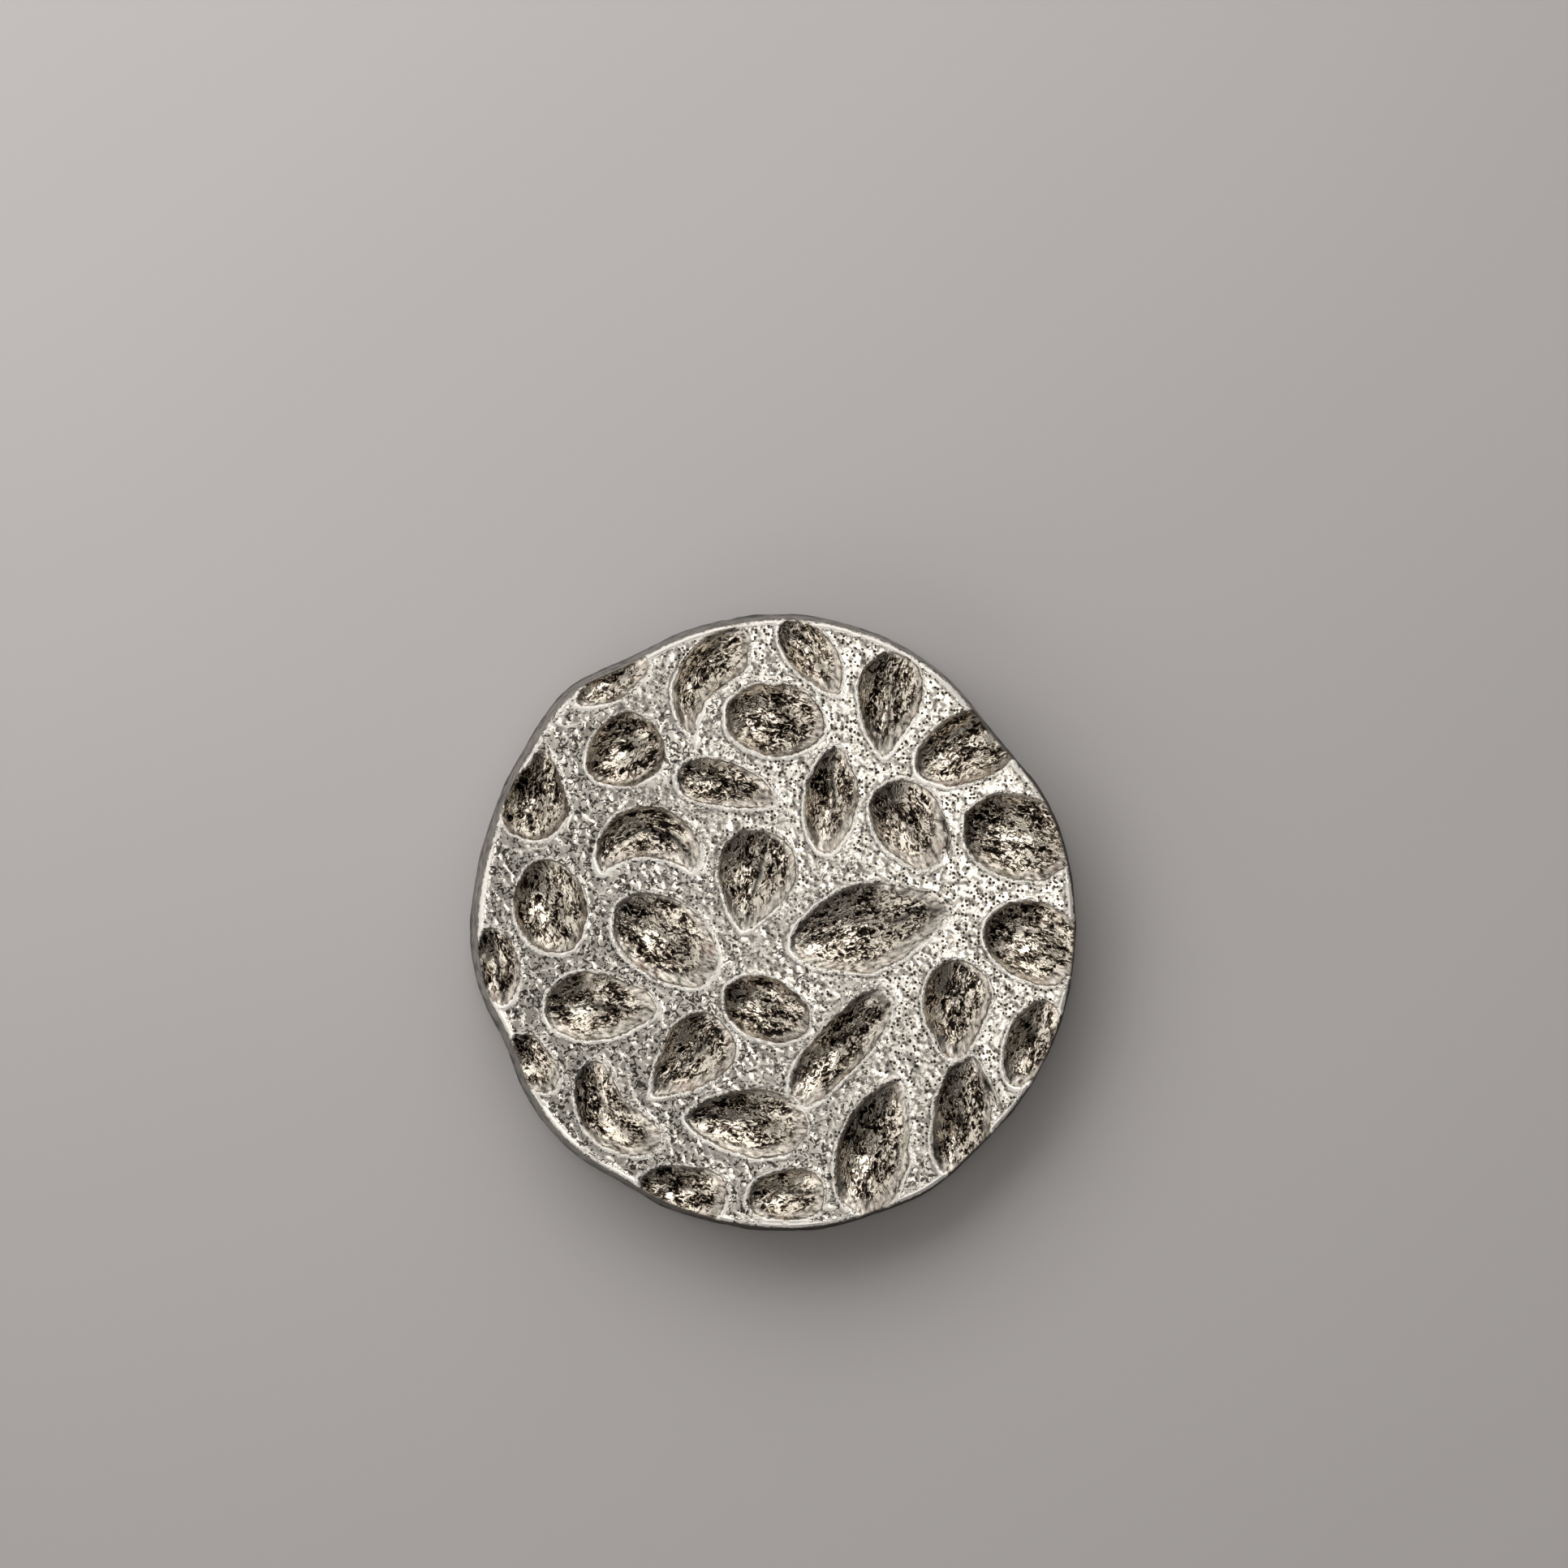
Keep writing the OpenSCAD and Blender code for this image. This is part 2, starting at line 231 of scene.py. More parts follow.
def relief(x, y):
    """The recesses at each point: depth in mm, share of the recess's full depth, the lip, the grainy bed and
    the crease as shares from 0 to 1, and the place along and across the recess in mm."""
    flat = np.stack([x, y, np.zeros_like(x)], axis=1)
    for far, cell, seed_x, seed_y in RAGGED:
        x, y = x + far * cloud(flat, cell, seed_x), y + far * cloud(flat, cell, seed_y)
    wander = CREASE_WANDER * cloud(flat, 0.7, 14)
    broken = smooth(-0.45, 0.1, cloud(flat, 1.3, 17))
    depth, full, lip, bed, crease = (np.zeros_like(x) for _ in range(5))
    nearest, stroke = np.full_like(x, np.inf), np.zeros((len(x), 3))
    for number, recess in enumerate(RECESSES):
        width = recess[3]
        rounder = number in ROUND_RECESSES
        keel, curve = (ROUND_KEEL, ROUND_CURVE) if rounder else (DEEP_KEEL, KEEL_CURVE)
        share = reach(x, y, recess)
        along, across = in_recess(x, y, recess)
        deepest = min(RECESS_DEPTH, NARROW_SHARE * width)
        inner = np.minimum(share, 1)
        fall = 1 - keel * inner**curve - (1 - keel) * inner**WALL_CURVE
        depth = np.maximum(depth, deepest * fall)
        full = np.maximum(full, fall)
        # The crease along a recess's keel is painted black: old patina, and painted shade in the crease
        line = np.exp(-(((across + wander) / CREASE_W) ** 2)) * smooth(0.1, 0.3, fall) * broken
        crease = np.maximum(crease, line * (0.3 if rounder else 1))
        outside = (share - 1) * width / 2
        towards = np.arctan2(y - PATTERN_SHIFT[1] - recess[1], x - PATTERN_SHIFT[0] - recess[0])
        # Lips stand higher and are painted brighter on one side of every recess: polished metal, partly
        # painted highlight
        raised = 0.72 + 0.28 * np.cos(towards - LIPS_TO)
        lip = np.maximum(lip, raised * np.exp(-(((outside - LIP_OUT) / LIP_W) ** 2)))
        smooth_side = 0.5 + 0.5 * np.cos(towards - SMOOTH_WALLS_TO)
        bed = np.maximum(bed, smooth(0.06 + 0.24 * smooth_side, 0.2 + 0.32 * smooth_side, fall))
        closer = share < nearest
        nearest = np.where(closer, share, nearest)
        apart = np.full_like(along, 3.0 * number)  # so that no two recesses share their streaks
        stroke[closer] = np.stack([along, across, apart], axis=1)[closer]
    for groove in GROOVES:
        cut = np.clip(1 - reach(x, y, groove) ** 2, 0, 1)
        depth = np.maximum(depth, GROOVE_DEPTH * cut)
        full, crease = np.maximum(full, 0.25 * cut), np.maximum(crease, cut)
    lip = lip * (1 - smooth(0.03, 0.2, full))
    return depth, full, lip, bed, crease, stroke


def cast_skin(points, full, lip):
    """How far the cast surface lies below its smooth shape: pits and gentle swells on the lands, and a
    coarser grain on the floors of the recesses."""
    land = 1 - smooth(0.02, 0.15, full)
    fine = cloud(points, 0.15, 5) + 0.5 * cloud(points, 0.3, 6)
    pits = smooth(0.1, 0.9, fine)
    rough = cloud(points, 0.2, 7) + 0.5 * cloud(points, 0.45, 8)
    floor = smooth(0.35, 0.6, full)
    return land * 0.03 * pits * (1 - lip) + 0.01 * (cloud(points, 2.2, 9) + 1) * land + floor * 0.02 * rough


# ---------------------------------------------------------------- meshes

FACE_RINGS = 160
SHARP_FROM = math.radians(40)


def new_piece(name, points, faces, material, body, nodes):
    """A mesh piece from points in mm with one material, that rides on a body and stands for CAD nodes."""
    mesh = bpy.data.meshes.new(name)
    mesh.from_pydata((np.asarray(points) * MM).tolist(), [], [list(f) for f in faces])
    mesh.validate()
    mesh.update()
    mesh.polygons.foreach_set("use_smooth", [True] * len(mesh.polygons))
    mesh.set_sharp_from_angle(angle=SHARP_FROM)
    piece = bpy.data.objects.new(name, mesh)
    bpy.context.scene.collection.objects.link(piece)
    mesh.materials.append(material)
    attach(piece, body)
    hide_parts(*nodes)
    return piece


def joined_rings(first, rings, around):
    """Quads between rings of points numbered one after another from first."""
    faces = []
    for ring in range(rings - 1):
        a, b = first + ring * around, first + (ring + 1) * around
        for k in range(around):
            n = (k + 1) % around
            faces.append((a + k, a + n, b + n, b + k))
    return faces


def face_strip(n):
    """Triangles between rings n - 1 and n of the face. Ring n has 6 n points, and ring 0 is the middle."""
    def point(ring, step):
        return 0 if ring == 0 else 1 + 3 * ring * (ring - 1) + step % (6 * ring)

    faces = []
    for s in range(6):
        for k in range(n):
            out, inner = s * n + k, s * (n - 1) + k
            faces.append((point(n, out), point(n, out + 1), point(n - 1, inner)))
            if k < n - 1:
                faces.append((point(n - 1, inner), point(n, out + 1), point(n - 1, inner + 1)))
    return faces


def halved(first, second, around):
    """Triangles between a ring of around points and the next ring, which has half as many."""
    half = around // 2
    faces = []
    for k in range(half):
        a, b, c = (first + (2 * k + n) % around for n in range(3))
        d, e = second + k, second + (k + 1) % half
        faces += [(d, b, a), (e, b, d), (e, c, b)]
    return faces


def make_head(material):
    """The cast head: relief face, drafted side with its parting line, rim, hollow and staked lip."""
    around = 6 * FACE_RINGS
    turns = [np.zeros(1)] + [np.arange(6 * n) * 360 / (6 * n) for n in range(1, FACE_RINGS + 1)]
    share = np.concatenate([np.full(len(t), n / FACE_RINGS) for n, t in enumerate(turns)])
    turn = np.concatenate(turns)
    rim = edge_radius(turn) - side_draft(turn)
    r = rim * share
    x, y = r * np.cos(np.radians(turn)), r * np.sin(np.radians(turn))
    depth, full, lip, bed, crease, stroke = relief(x, y)
    flat = np.stack([x, y, np.zeros_like(x)], axis=1)
    inside = np.minimum(rim - r, EDGE_ROUND)
    drop = EDGE_ROUND - np.sqrt(EDGE_ROUND**2 - (EDGE_ROUND - inside) ** 2)
    edge_lip = np.exp(-(((rim - r - EDGE_LIP_IN) / EDGE_LIP_W) ** 2)) * (1 - smooth(0.02, 0.15, full))
    lip = np.maximum(lip, edge_lip)
    worn = 0.7 + 0.4 * cloud(flat, 1.1, 15)
    # Painted highlight and shade: the lands are painted brighter towards one side of the face and darker
    # away from it
    towards = (x * math.cos(LIT_SIDE_TO) + y * math.sin(LIT_SIDE_TO)) / HEAD_R
    painted_light_side = smooth(-1, 1, towards + 0.35 * cloud(flat, 3, 16))
    bead = LIP_HEIGHT * lip * worn
    z = HEAD_H - LIP_HEIGHT - np.maximum(depth, drop) - cast_skin(flat, full, lip) + bead
    points = [np.stack([x, y, np.minimum(z, HEAD_H)], axis=1)]

    edge_turn = turns[-1]
    cos, sin = np.cos(np.radians(edge_turn)), np.sin(np.radians(edge_turn))
    outline = edge_radius(edge_turn)
    edge_z = z[-around:]
    wobble = 0.03 * cloud(np.stack([cos, sin, 0 * cos], axis=1) * HEAD_R, 0.9, 11) - 0.03

    # The side, from the edge of the face down to the parting line and on to the rim's foot
    steps, line_gap, low_z = 9, 0.05, WIDEST_Z + 0.16
    for k in range(1, steps + 1):
        down = k / steps
        gap = (side_draft(edge_turn) - line_gap) * (1 - down) ** 0.8 + line_gap
        ring, level = outline - gap, edge_z + (low_z - edge_z) * down
        points.append(np.stack([ring * cos, ring * sin, level], axis=1))
    for gap, level in ((0, 0.07), (0, -0.07), (0.06, -0.16), (0.14, -0.42), (0.22, -0.62), (0.28, -0.72)):
        ring = outline - gap + (wobble if gap == 0 else 0)
        points.append(np.stack([ring * cos, ring * sin, np.full(around, WIDEST_Z + level)], axis=1))
    foot_ring = outline - BEVEL
    points.append(np.stack([foot_ring * cos, foot_ring * sin, np.zeros(around)], axis=1))
    outer_rings = len(points)

    # The mouth of the hollow, its wall, the staked lip, the plate's seat and the hollow's top
    wall_r, shoulder_r = PLATE_R + PLATE_GAP, PLATE_R - SEAT_W
    cos, sin = cos[::2], sin[::2]
    stakes = smooth(0.6, 1, np.cos(np.radians(edge_turn[::2] * STAKES)))
    hollow = [
        (MOUTH_R + 0.08, 0), (MOUTH_R, 0.04), (MOUTH_R - 0.05, 0.12), (9.65, 0.4), (9.3, 0.75),
        (wall_r + 0.05, PLATE_Z - 0.42), (wall_r - 0.06, PLATE_Z - 0.36),
        (shoulder_r + 0.07, PLATE_Z - 0.22), (shoulder_r, PLATE_Z - 0.15), (shoulder_r, PLATE_Z),
        (wall_r, PLATE_Z), (wall_r, PLATE_TOP_Z), (shoulder_r, PLATE_TOP_Z), (shoulder_r, HOLLOW_TOP_Z),
    ]
    for radius, level in hollow:
        unstaked = level < PLATE_Z - 0.18 and radius < wall_r
        ring = radius + 0.12 * unstaked * (1 - stakes)
        points.append(np.stack([ring * cos, ring * sin, np.full(len(cos), level)], axis=1))
    body = np.concatenate(points + [np.array([[0, 0, HOLLOW_TOP_Z]])])

    # Cast grain on everything but the face, always inwards
    under = body[len(x):-1]
    away = under * [1, 1, 0] / np.maximum(np.linalg.norm(under[:, :2], axis=1), 1e-6)[:, None]
    grain = 0.014 * cloud(under, 0.35, 12) + 0.01 * cloud(under, 0.15, 13) - 0.024
    under += away * grain[:, None]

    first = len(x) - around
    faces = [f for n in range(1, FACE_RINGS + 1) for f in face_strip(n)]
    faces += [tuple(reversed(f)) for f in joined_rings(first, outer_rings, around)]
    inner = first + outer_rings * around
    faces += halved(inner - around, inner, around)
    faces += [tuple(reversed(f)) for f in joined_rings(inner, len(hollow), around // 2)]
    last = inner + (len(hollow) - 1) * (around // 2)
    faces += [(last + (k + 1) % (around // 2), last + k, len(body) - 1) for k in range(around // 2)]
    piece = new_piece("cast_head", body, faces, material, "button", ["face_casting"])
    rest = len(body) - len(x)
    layers = {"hollow": full, "lip": lip * np.clip(worn, 0, 1), "bed": bed, "crease": crease, "painted_light_side": painted_light_side}
    layers["side"] = smooth(0.1, 0, rim - r)
    for name, values in layers.items():
        layer = piece.data.attributes.new(name, "FLOAT", "POINT")
        beyond = np.full(rest, float(name == "side"))
        layer.data.foreach_set("value", np.concatenate([values, beyond]).astype(np.float32))
    layer = piece.data.attributes.new("stroke", "FLOAT_VECTOR", "POINT")
    strokes = np.concatenate([stroke, body[len(x):]]) * MM
    layer.data.foreach_set("vector", strokes.astype(np.float32).ravel())
    return piece


def revolved(profile, around, centre=(0, 0)):
    """Points and faces of a closed solid of revolution about Z. The profile starts and ends on the axis."""
    turn = np.arange(around) * 2 * math.pi / around
    points = [[centre[0], centre[1], profile[0][1]]]
    for r, z in profile[1:-1]:
        ring = [centre[0] + r * np.cos(turn), centre[1] + r * np.sin(turn), np.full(around, z)]
        points += np.stack(ring, axis=1).tolist()
    points.append([centre[0], centre[1], profile[-1][1]])
    rings = len(profile) - 2
    faces = [(0, 1 + (k + 1) % around, 1 + k) for k in range(around)]
    faces += [tuple(reversed(f)) for f in joined_rings(1, rings, around)]
    end = 1 + (rings - 1) * around
    faces += [(end + k, end + (k + 1) % around, len(points) - 1) for k in range(around)]
    return points, [tuple(reversed(f)) for f in faces]


def make_plate(material):
    """Stamped plate with rounded edges and two pressed rings on its underside."""
    low, top, edge = PLATE_Z, PLATE_TOP_Z, PLATE_R
    profile = [(0, low)]
    for r in np.linspace(0.2, edge - 0.08, 110):
        raised = sum(high * math.exp(-(((r - place) / half) ** 2)) for place, high, half in PRESSED_RINGS)
        profile.append((r, low + raised))
    profile += [(edge - 0.03, low + 0.02), (edge, low + 0.07), (edge, top - 0.06), (edge - 0.06, top)]
    profile += [(r, top) for r in (8, 6, 4, 2)] + [(0, top)]
    points, faces = revolved(profile, 192)
    return new_piece("stamped_plate", points, faces, material, "button", ["back_plate"])


def make_rivets(material):
    """Two rivets: a domed head below the saddle, the shank and the clenched end above the plate."""
    head_z, low, end_z = PLATE_Z - SADDLE_T, rivets_low[2], rivets_high[2]
    dome = [(RIVET_HEAD_R * math.sin(a), head_z - 0.04 - (head_z - 0.04 - low) * math.cos(a))
            for a in np.linspace(0, math.pi / 2, 12)]
    dome[0] = (0, dome[0][1])
    clench = [
        (RIVET_SHANK_R, head_z), (RIVET_SHANK_R, PLATE_TOP_Z), (RIVET_END_R - 0.04, PLATE_TOP_Z),
        (RIVET_END_R, PLATE_TOP_Z + 0.07), (RIVET_END_R - 0.06, end_z - 0.06),
        (RIVET_END_R - 0.18, end_z), (0, end_z),
    ]
    profile = dome + [(RIVET_HEAD_R - 0.02, head_z)] + clench
    points, faces = [], []
    for side in (-1, 1):
        more, strips = revolved(profile, 48, (0, side * RIVET_Y))
        faces += [tuple(i + len(points) for i in f) for f in strips]
        points += more
    return new_piece("rivet_pair", points, faces, material, "button", ["saddle_rivets"])


def swept(sections):
    """Points and faces of cross-sections, each a list of points in 3D, joined one to the next and capped."""
    around = len(sections[0])
    points = [p for section in sections for p in section]
    faces = [tuple(reversed(f)) for f in joined_rings(0, len(sections), around)]
    faces.append(tuple(range(around)))
    faces.append(tuple(reversed(range(len(points) - around, len(points)))))
    return points, faces


def make_saddle(material):
    """Stamped strap: two round feet on the plate and a crown round the loop's hinge bar."""
    half_w, mid_z = saddle_high[0], PLATE_Z - SADDLE_T / 2
    crown_r = WIRE_R + SADDLE_GAP + SADDLE_T / 2
    foot_end = saddle_high[1]
    foot_y = foot_end - half_w
    fillet = 0.16
    # The strap's middle line in the YZ plane, from one foot's tip to the middle of the crown
    line = [(foot_end - 0.001 - half_w * (1 - math.cos(a)), mid_z) for a in np.linspace(0.08, 1.5, 14)]
    line += [(y, mid_z) for y in np.linspace(foot_y - 0.05, crown_r + fillet + 0.02, 6)]
    line += [(crown_r + fillet * (1 - math.sin(a)), mid_z - fillet * (1 - math.cos(a)))
             for a in np.linspace(0, math.pi / 2, 6)]
    line += [(crown_r * math.cos(a), hinge.z - crown_r * math.sin(a))
             for a in np.linspace(0, math.pi / 2, 14)]
    line = np.array(line + [(-y, z) for y, z in reversed(line[:-1])])
    ahead = np.gradient(line, axis=0)
    ahead /= np.linalg.norm(ahead, axis=1)[:, None]
    sections = []
    for (y, z), (ty, tz) in zip(line, ahead):
        past = max(0, abs(y) - foot_y)
        half = math.sqrt(max(half_w**2 - past**2, 0.02))
        corner, section = 0.06, []
        for sx, sn in ((1, 1), (-1, 1), (-1, -1), (1, -1)):
            for a in np.linspace(0, math.pi / 2, 4) if sx * sn > 0 else np.linspace(math.pi / 2, 0, 4):
                across = sx * (half - corner + corner * math.cos(a))
                out = sn * (SADDLE_T / 2 - corner + corner * math.sin(a))
                section.append((across, y - tz * out, z + ty * out))
        sections.append(section)
    points, faces = swept(sections)
    return new_piece("saddle_strap", points, faces, material, "button", ["loop_saddle"])


def make_loop(material):
    """The wire D: a hinge bar with butted ends, two corners, two legs and a bow."""
    leg_x = LOOP_W / 2
    bar_end, bow_y = leg_x - CORNER_R, LOOP_REACH - leg_x
    half = [(x, 0) for x in np.linspace(WIRE_GAP / 2, bar_end - 0.05, 14)]
    half += [(bar_end + CORNER_R * math.sin(a), CORNER_R * (1 - math.cos(a)))
             for a in np.linspace(0, math.pi / 2, 16)]
    half += [(leg_x, y) for y in np.linspace(CORNER_R + 0.1, bow_y - 0.1, 14)]
    half += [(leg_x * math.cos(a), bow_y + leg_x * math.sin(a)) for a in np.linspace(0, math.pi / 2, 26)]
    path = np.array(half + [(-x, y) for x, y in reversed(half[:-1])])
    ahead = np.gradient(path, axis=0)
    ahead /= np.linalg.norm(ahead, axis=1)[:, None]
    drop = Matrix.Rotation(-math.asin((hinge.z - WIRE_R) / LOOP_REACH), 3, "X")
    sections, sides = [], 28
    for n, ((x, y), (tx, ty)) in enumerate(zip(path, ahead)):
        r = WIRE_R - (0.06 if n in (0, len(path) - 1) else 0)
        section = []
        for k in range(sides):
            a = 2 * math.pi * k / sides
            p = Vector((x + ty * r * math.cos(a), y - tx * r * math.cos(a), r * math.sin(a)))
            section.append(tuple(drop @ p + Vector((0, 0, hinge.z))))
        sections.append(section)
    points, faces = swept(sections)
    return new_piece("thread_loop", points, faces, material, "loop", ["swing_loop"])


# ---------------------------------------------------------------- materials

# Colours of the head, from the brightest metal and painted highlight to old patina and painted shade
LIP = (1, 0.965, 0.9, 1)
PAINTED_HIGHLIGHT_SILVER = (0.98, 0.93, 0.85, 1)
SILVER = (1, 0.945, 0.86, 1)
CREAM = (1, 0.92, 0.8, 1)
CREAM_STREAK = (1, 0.93, 0.83, 1)
WALL_LIGHT, WALL_DARK = (0.82, 0.76, 0.68, 1), (0.3, 0.265, 0.23, 1)
SMUDGE = (0.34, 0.31, 0.27, 1)
PAINTED_SHADE_GREY = (0.12, 0.11, 0.098, 1)
BROWN = (0.29, 0.235, 0.18, 1)
RED_TINT, GREEN_TINT = (0.4, 0.25, 0.2, 1), (0.3, 0.34, 0.26, 1)
SIDE_LIGHT, SIDE_DARK = (0.42, 0.4, 0.36, 1), (0.1, 0.085, 0.07, 1)
# Painted shade on one side of the edge, and darker towards the bottom of the side
LOW_AND_SHADED_SIDE_DARK = (0.05, 0.038, 0.03, 1)
PIT = (0.06, 0.05, 0.04, 1)
DARK_STREAK = (0.03, 0.024, 0.02, 1)
BLACK = (0.008, 0.007, 0.006, 1)
BED_BLACK = (0.008, 0.006, 0.005, 1)


class Nodes:
    """A short way to write a material's node tree."""

    def __init__(self, name):
        self.material = bpy.data.materials.new(name)
        self.material.use_nodes = True
        self.tree = self.material.node_tree
        self.shader = self.tree.nodes["Principled BSDF"]
        self.place = self.add("ShaderNodeTexCoord").outputs["Object"]

    def add(self, kind, **settings):
        node = self.tree.nodes.new(kind)
        for name, value in settings.items():
            setattr(node, name, value)
        return node

    def feed(self, socket, value):
        if isinstance(value, bpy.types.NodeSocket):
            self.tree.links.new(value, socket)
        elif value is not None:
            socket.default_value = value

    def noise(self, size_mm, detail=3.0, roughness=0.55, stretch=(1, 1, 1), distortion=0.0, place=None):
        mapping = self.add("ShaderNodeMapping")
        self.feed(mapping.inputs["Vector"], place or self.place)
        mapping.inputs["Scale"].default_value = stretch
        node = self.add("ShaderNodeTexNoise")
        self.feed(node.inputs["Vector"], mapping.outputs["Vector"])
        node.inputs["Scale"].default_value = 1 / (size_mm * MM)
        node.inputs["Detail"].default_value = detail
        node.inputs["Roughness"].default_value = roughness
        node.inputs["Distortion"].default_value = distortion
        return node.outputs["Fac"]

    def cells(self, size_mm):
        """Distance from the middle of the nearest cell, and a random number for that cell."""
        node = self.add("ShaderNodeTexVoronoi")
        self.feed(node.inputs["Vector"], self.place)
        node.inputs["Scale"].default_value = 1 / (size_mm * MM)
        split = self.add("ShaderNodeSeparateColor")
        self.feed(split.inputs[0], node.outputs["Color"])
        return node.outputs["Distance"], split.outputs[0]

    def layer(self, name, output="Fac"):
        return self.add("ShaderNodeAttribute", attribute_name=name).outputs[output]

    def spread(self, value, low, high, to_low=0.0, to_high=1.0):
        node = self.add("ShaderNodeMapRange", interpolation_type="SMOOTHSTEP")
        self.feed(node.inputs["Value"], value)
        for name, number in (("From Min", low), ("From Max", high), ("To Min", to_low), ("To Max", to_high)):
            node.inputs[name].default_value = number
        return node.outputs["Result"]

    def mix(self, share, a, b):
        node = self.add("ShaderNodeMix", data_type="RGBA")
        for socket, value in ((node.inputs[0], share), (node.inputs[6], a), (node.inputs[7], b)):
            self.feed(socket, value)
        return node.outputs[2]

    def math(self, operation, a, b=None):
        node = self.add("ShaderNodeMath", operation=operation)
        self.feed(node.inputs[0], a)
        self.feed(node.inputs[1], b)
        return node.outputs[0]

    def height(self):
        split = self.add("ShaderNodeSeparateXYZ")
        self.feed(split.inputs[0], self.place)
        return split.outputs["Z"]

    def along(self, direction):
        """How far each point is out in this direction, in metres."""
        node = self.add("ShaderNodeVectorMath", operation="DOT_PRODUCT")
        self.feed(node.inputs[0], self.place)
        node.inputs[1].default_value = direction
        return node.outputs["Value"]

    def bump(self, height, distance_mm, strength=1.0, under=None):
        node = self.add("ShaderNodeBump")
        node.inputs["Distance"].default_value = distance_mm * MM
        node.inputs["Strength"].default_value = strength
        self.feed(node.inputs["Height"], height)
        if under is not None:
            self.feed(node.inputs["Normal"], under)
        return node.outputs["Normal"]

    def finish(self, colour, roughness, normal=None, metallic=1.0):
        self.feed(self.shader.inputs["Base Color"], colour)
        self.feed(self.shader.inputs["Roughness"], roughness)
        self.feed(self.shader.inputs["Metallic"], metallic)
        if normal is not None:
            self.feed(self.shader.inputs["Normal"], normal)
        return self.material


def antique_silver():
    """Cast metal under antique silver: bright lips, partly painted highlight, lands painted bright on one
    side as highlight and grey on the other as shade, and dark patina in the recesses.
    """
    n = Nodes("antique_silver")
    hollow, crease, floor = (n.layer(name) for name in ("hollow", "crease", "bed"))
    frayed = n.spread(n.noise(0.16, detail=2, distortion=0.6), 0.3, 0.7, -0.18, 0.18)
    lip = n.spread(n.math("ADD", n.layer("lip"), frayed), 0.2, 0.38)
    stroke = n.layer("stroke", "Vector")
    sunk = n.spread(hollow, 0.02, 0.12)

    # Lands: painted light across the face, silver worms on a grey skin painted as shade away from the lit
    # side, and bright silver with small dark pits painted as highlight towards it
    worm = n.noise(0.17, detail=1.5, roughness=0.5, distortion=1.2)
    worms = n.spread(worm, 0.43, 0.465)
    painted_shade_land = n.mix(worms, PAINTED_SHADE_GREY, SILVER)
    pits, chance = n.cells(0.15)
    pits = n.math("MULTIPLY", n.spread(pits, 0.29, 0.4, 1, 0), n.spread(chance, 0.3, 0.35))
    smudge = n.spread(n.noise(0.2, detail=2, distortion=0.8), 0.5, 0.58, 0, 0.9)
    painted_lit_land = n.mix(smudge, PAINTED_HIGHLIGHT_SILVER, SMUDGE)
    painted_lit_land = n.mix(pits, painted_lit_land, PIT)
    patch = n.noise(1.4, detail=2)
    # How far each land is painted as lit, with soft patches
    painted_light_share = n.spread(n.math("ADD", n.layer("painted_light_side"), n.spread(patch, 0.3, 0.7, -0.2, 0.2)), 0.35, 0.7)
    land = n.mix(painted_light_share, painted_shade_land, painted_lit_land)
    land_height = n.mix(painted_light_share, worms, (0.7, 0.7, 0.7, 1))
    land_height = n.math("SUBTRACT", land_height, n.math("MULTIPLY", pits, painted_light_share))

    # Walls: grey-brown, streaked dark and cream along the recess, with faint red and green tints
    strokes = n.noise(0.14, detail=3, stretch=(0.5, 1, 1), place=stroke)
    tint = n.noise(1.1, detail=2, distortion=0.5)
    wall = n.mix(n.spread(strokes, 0.35, 0.65), WALL_DARK, WALL_LIGHT)
    wall = n.mix(n.spread(strokes, 0.37, 0.42, 0.75, 0), wall, DARK_STREAK)
    wall = n.mix(n.spread(strokes, 0.57, 0.62, 0, 0.8), wall, CREAM_STREAK)
    wall = n.mix(n.spread(tint, 0.55, 0.75, 0, 0.4), wall, RED_TINT)
    wall = n.mix(n.spread(tint, 0.45, 0.25, 0, 0.3), wall, GREEN_TINT)

    # Floors: black and brown between cream flecks that lie along the recess
    clump = n.spread(n.noise(0.45, detail=2, stretch=(0.5, 1, 1), place=stroke), 0.3, 0.7, -0.09, 0.09)
    speck = n.noise(0.13, detail=2, roughness=0.6, stretch=(0.62, 1, 1), distortion=1.1, place=stroke)
    speck = n.math("ADD", speck, clump)
    bed = n.mix(n.spread(speck, 0.425, 0.46), BED_BLACK, BROWN)
    bed = n.mix(n.spread(speck, 0.52, 0.55), bed, CREAM)

    colour = n.mix(floor, wall, bed)
    # Black along creases and grooves: old patina, and painted shade in the creases
    colour = n.mix(n.math("MULTIPLY", crease, 0.85), colour, BLACK)
    colour = n.mix(sunk, land, colour)

    # The side: dull grey skin, blotched dark, with painted shade on one side and darker towards the bottom
    skin = n.noise(0.5, detail=4, roughness=0.65)
    dull = n.mix(n.spread(skin, 0.36, 0.58), SIDE_DARK, SIDE_LIGHT)
    # Darker towards the bottom of the side, and painted shade towards one direction
    low = n.spread(n.height(), WIDEST_Z * MM, (WIDEST_Z + 0.5) * MM, 0.85, 0)
    painted_shade_side = n.spread(n.along((math.cos(SHADED_SIDE_TO), math.sin(SHADED_SIDE_TO), 0)), -3 * MM, 7 * MM, 0, 0.9)
    dull = n.mix(n.math("MAXIMUM", low, painted_shade_side), dull, LOW_AND_SHADED_SIDE_DARK)
    colour = n.mix(n.layer("side"), colour, dull)
    # Bright lips: polished metal, painted brighter on one side of each recess as painted highlight
    colour = n.mix(n.math("MULTIPLY", lip, 0.95), colour, LIP)

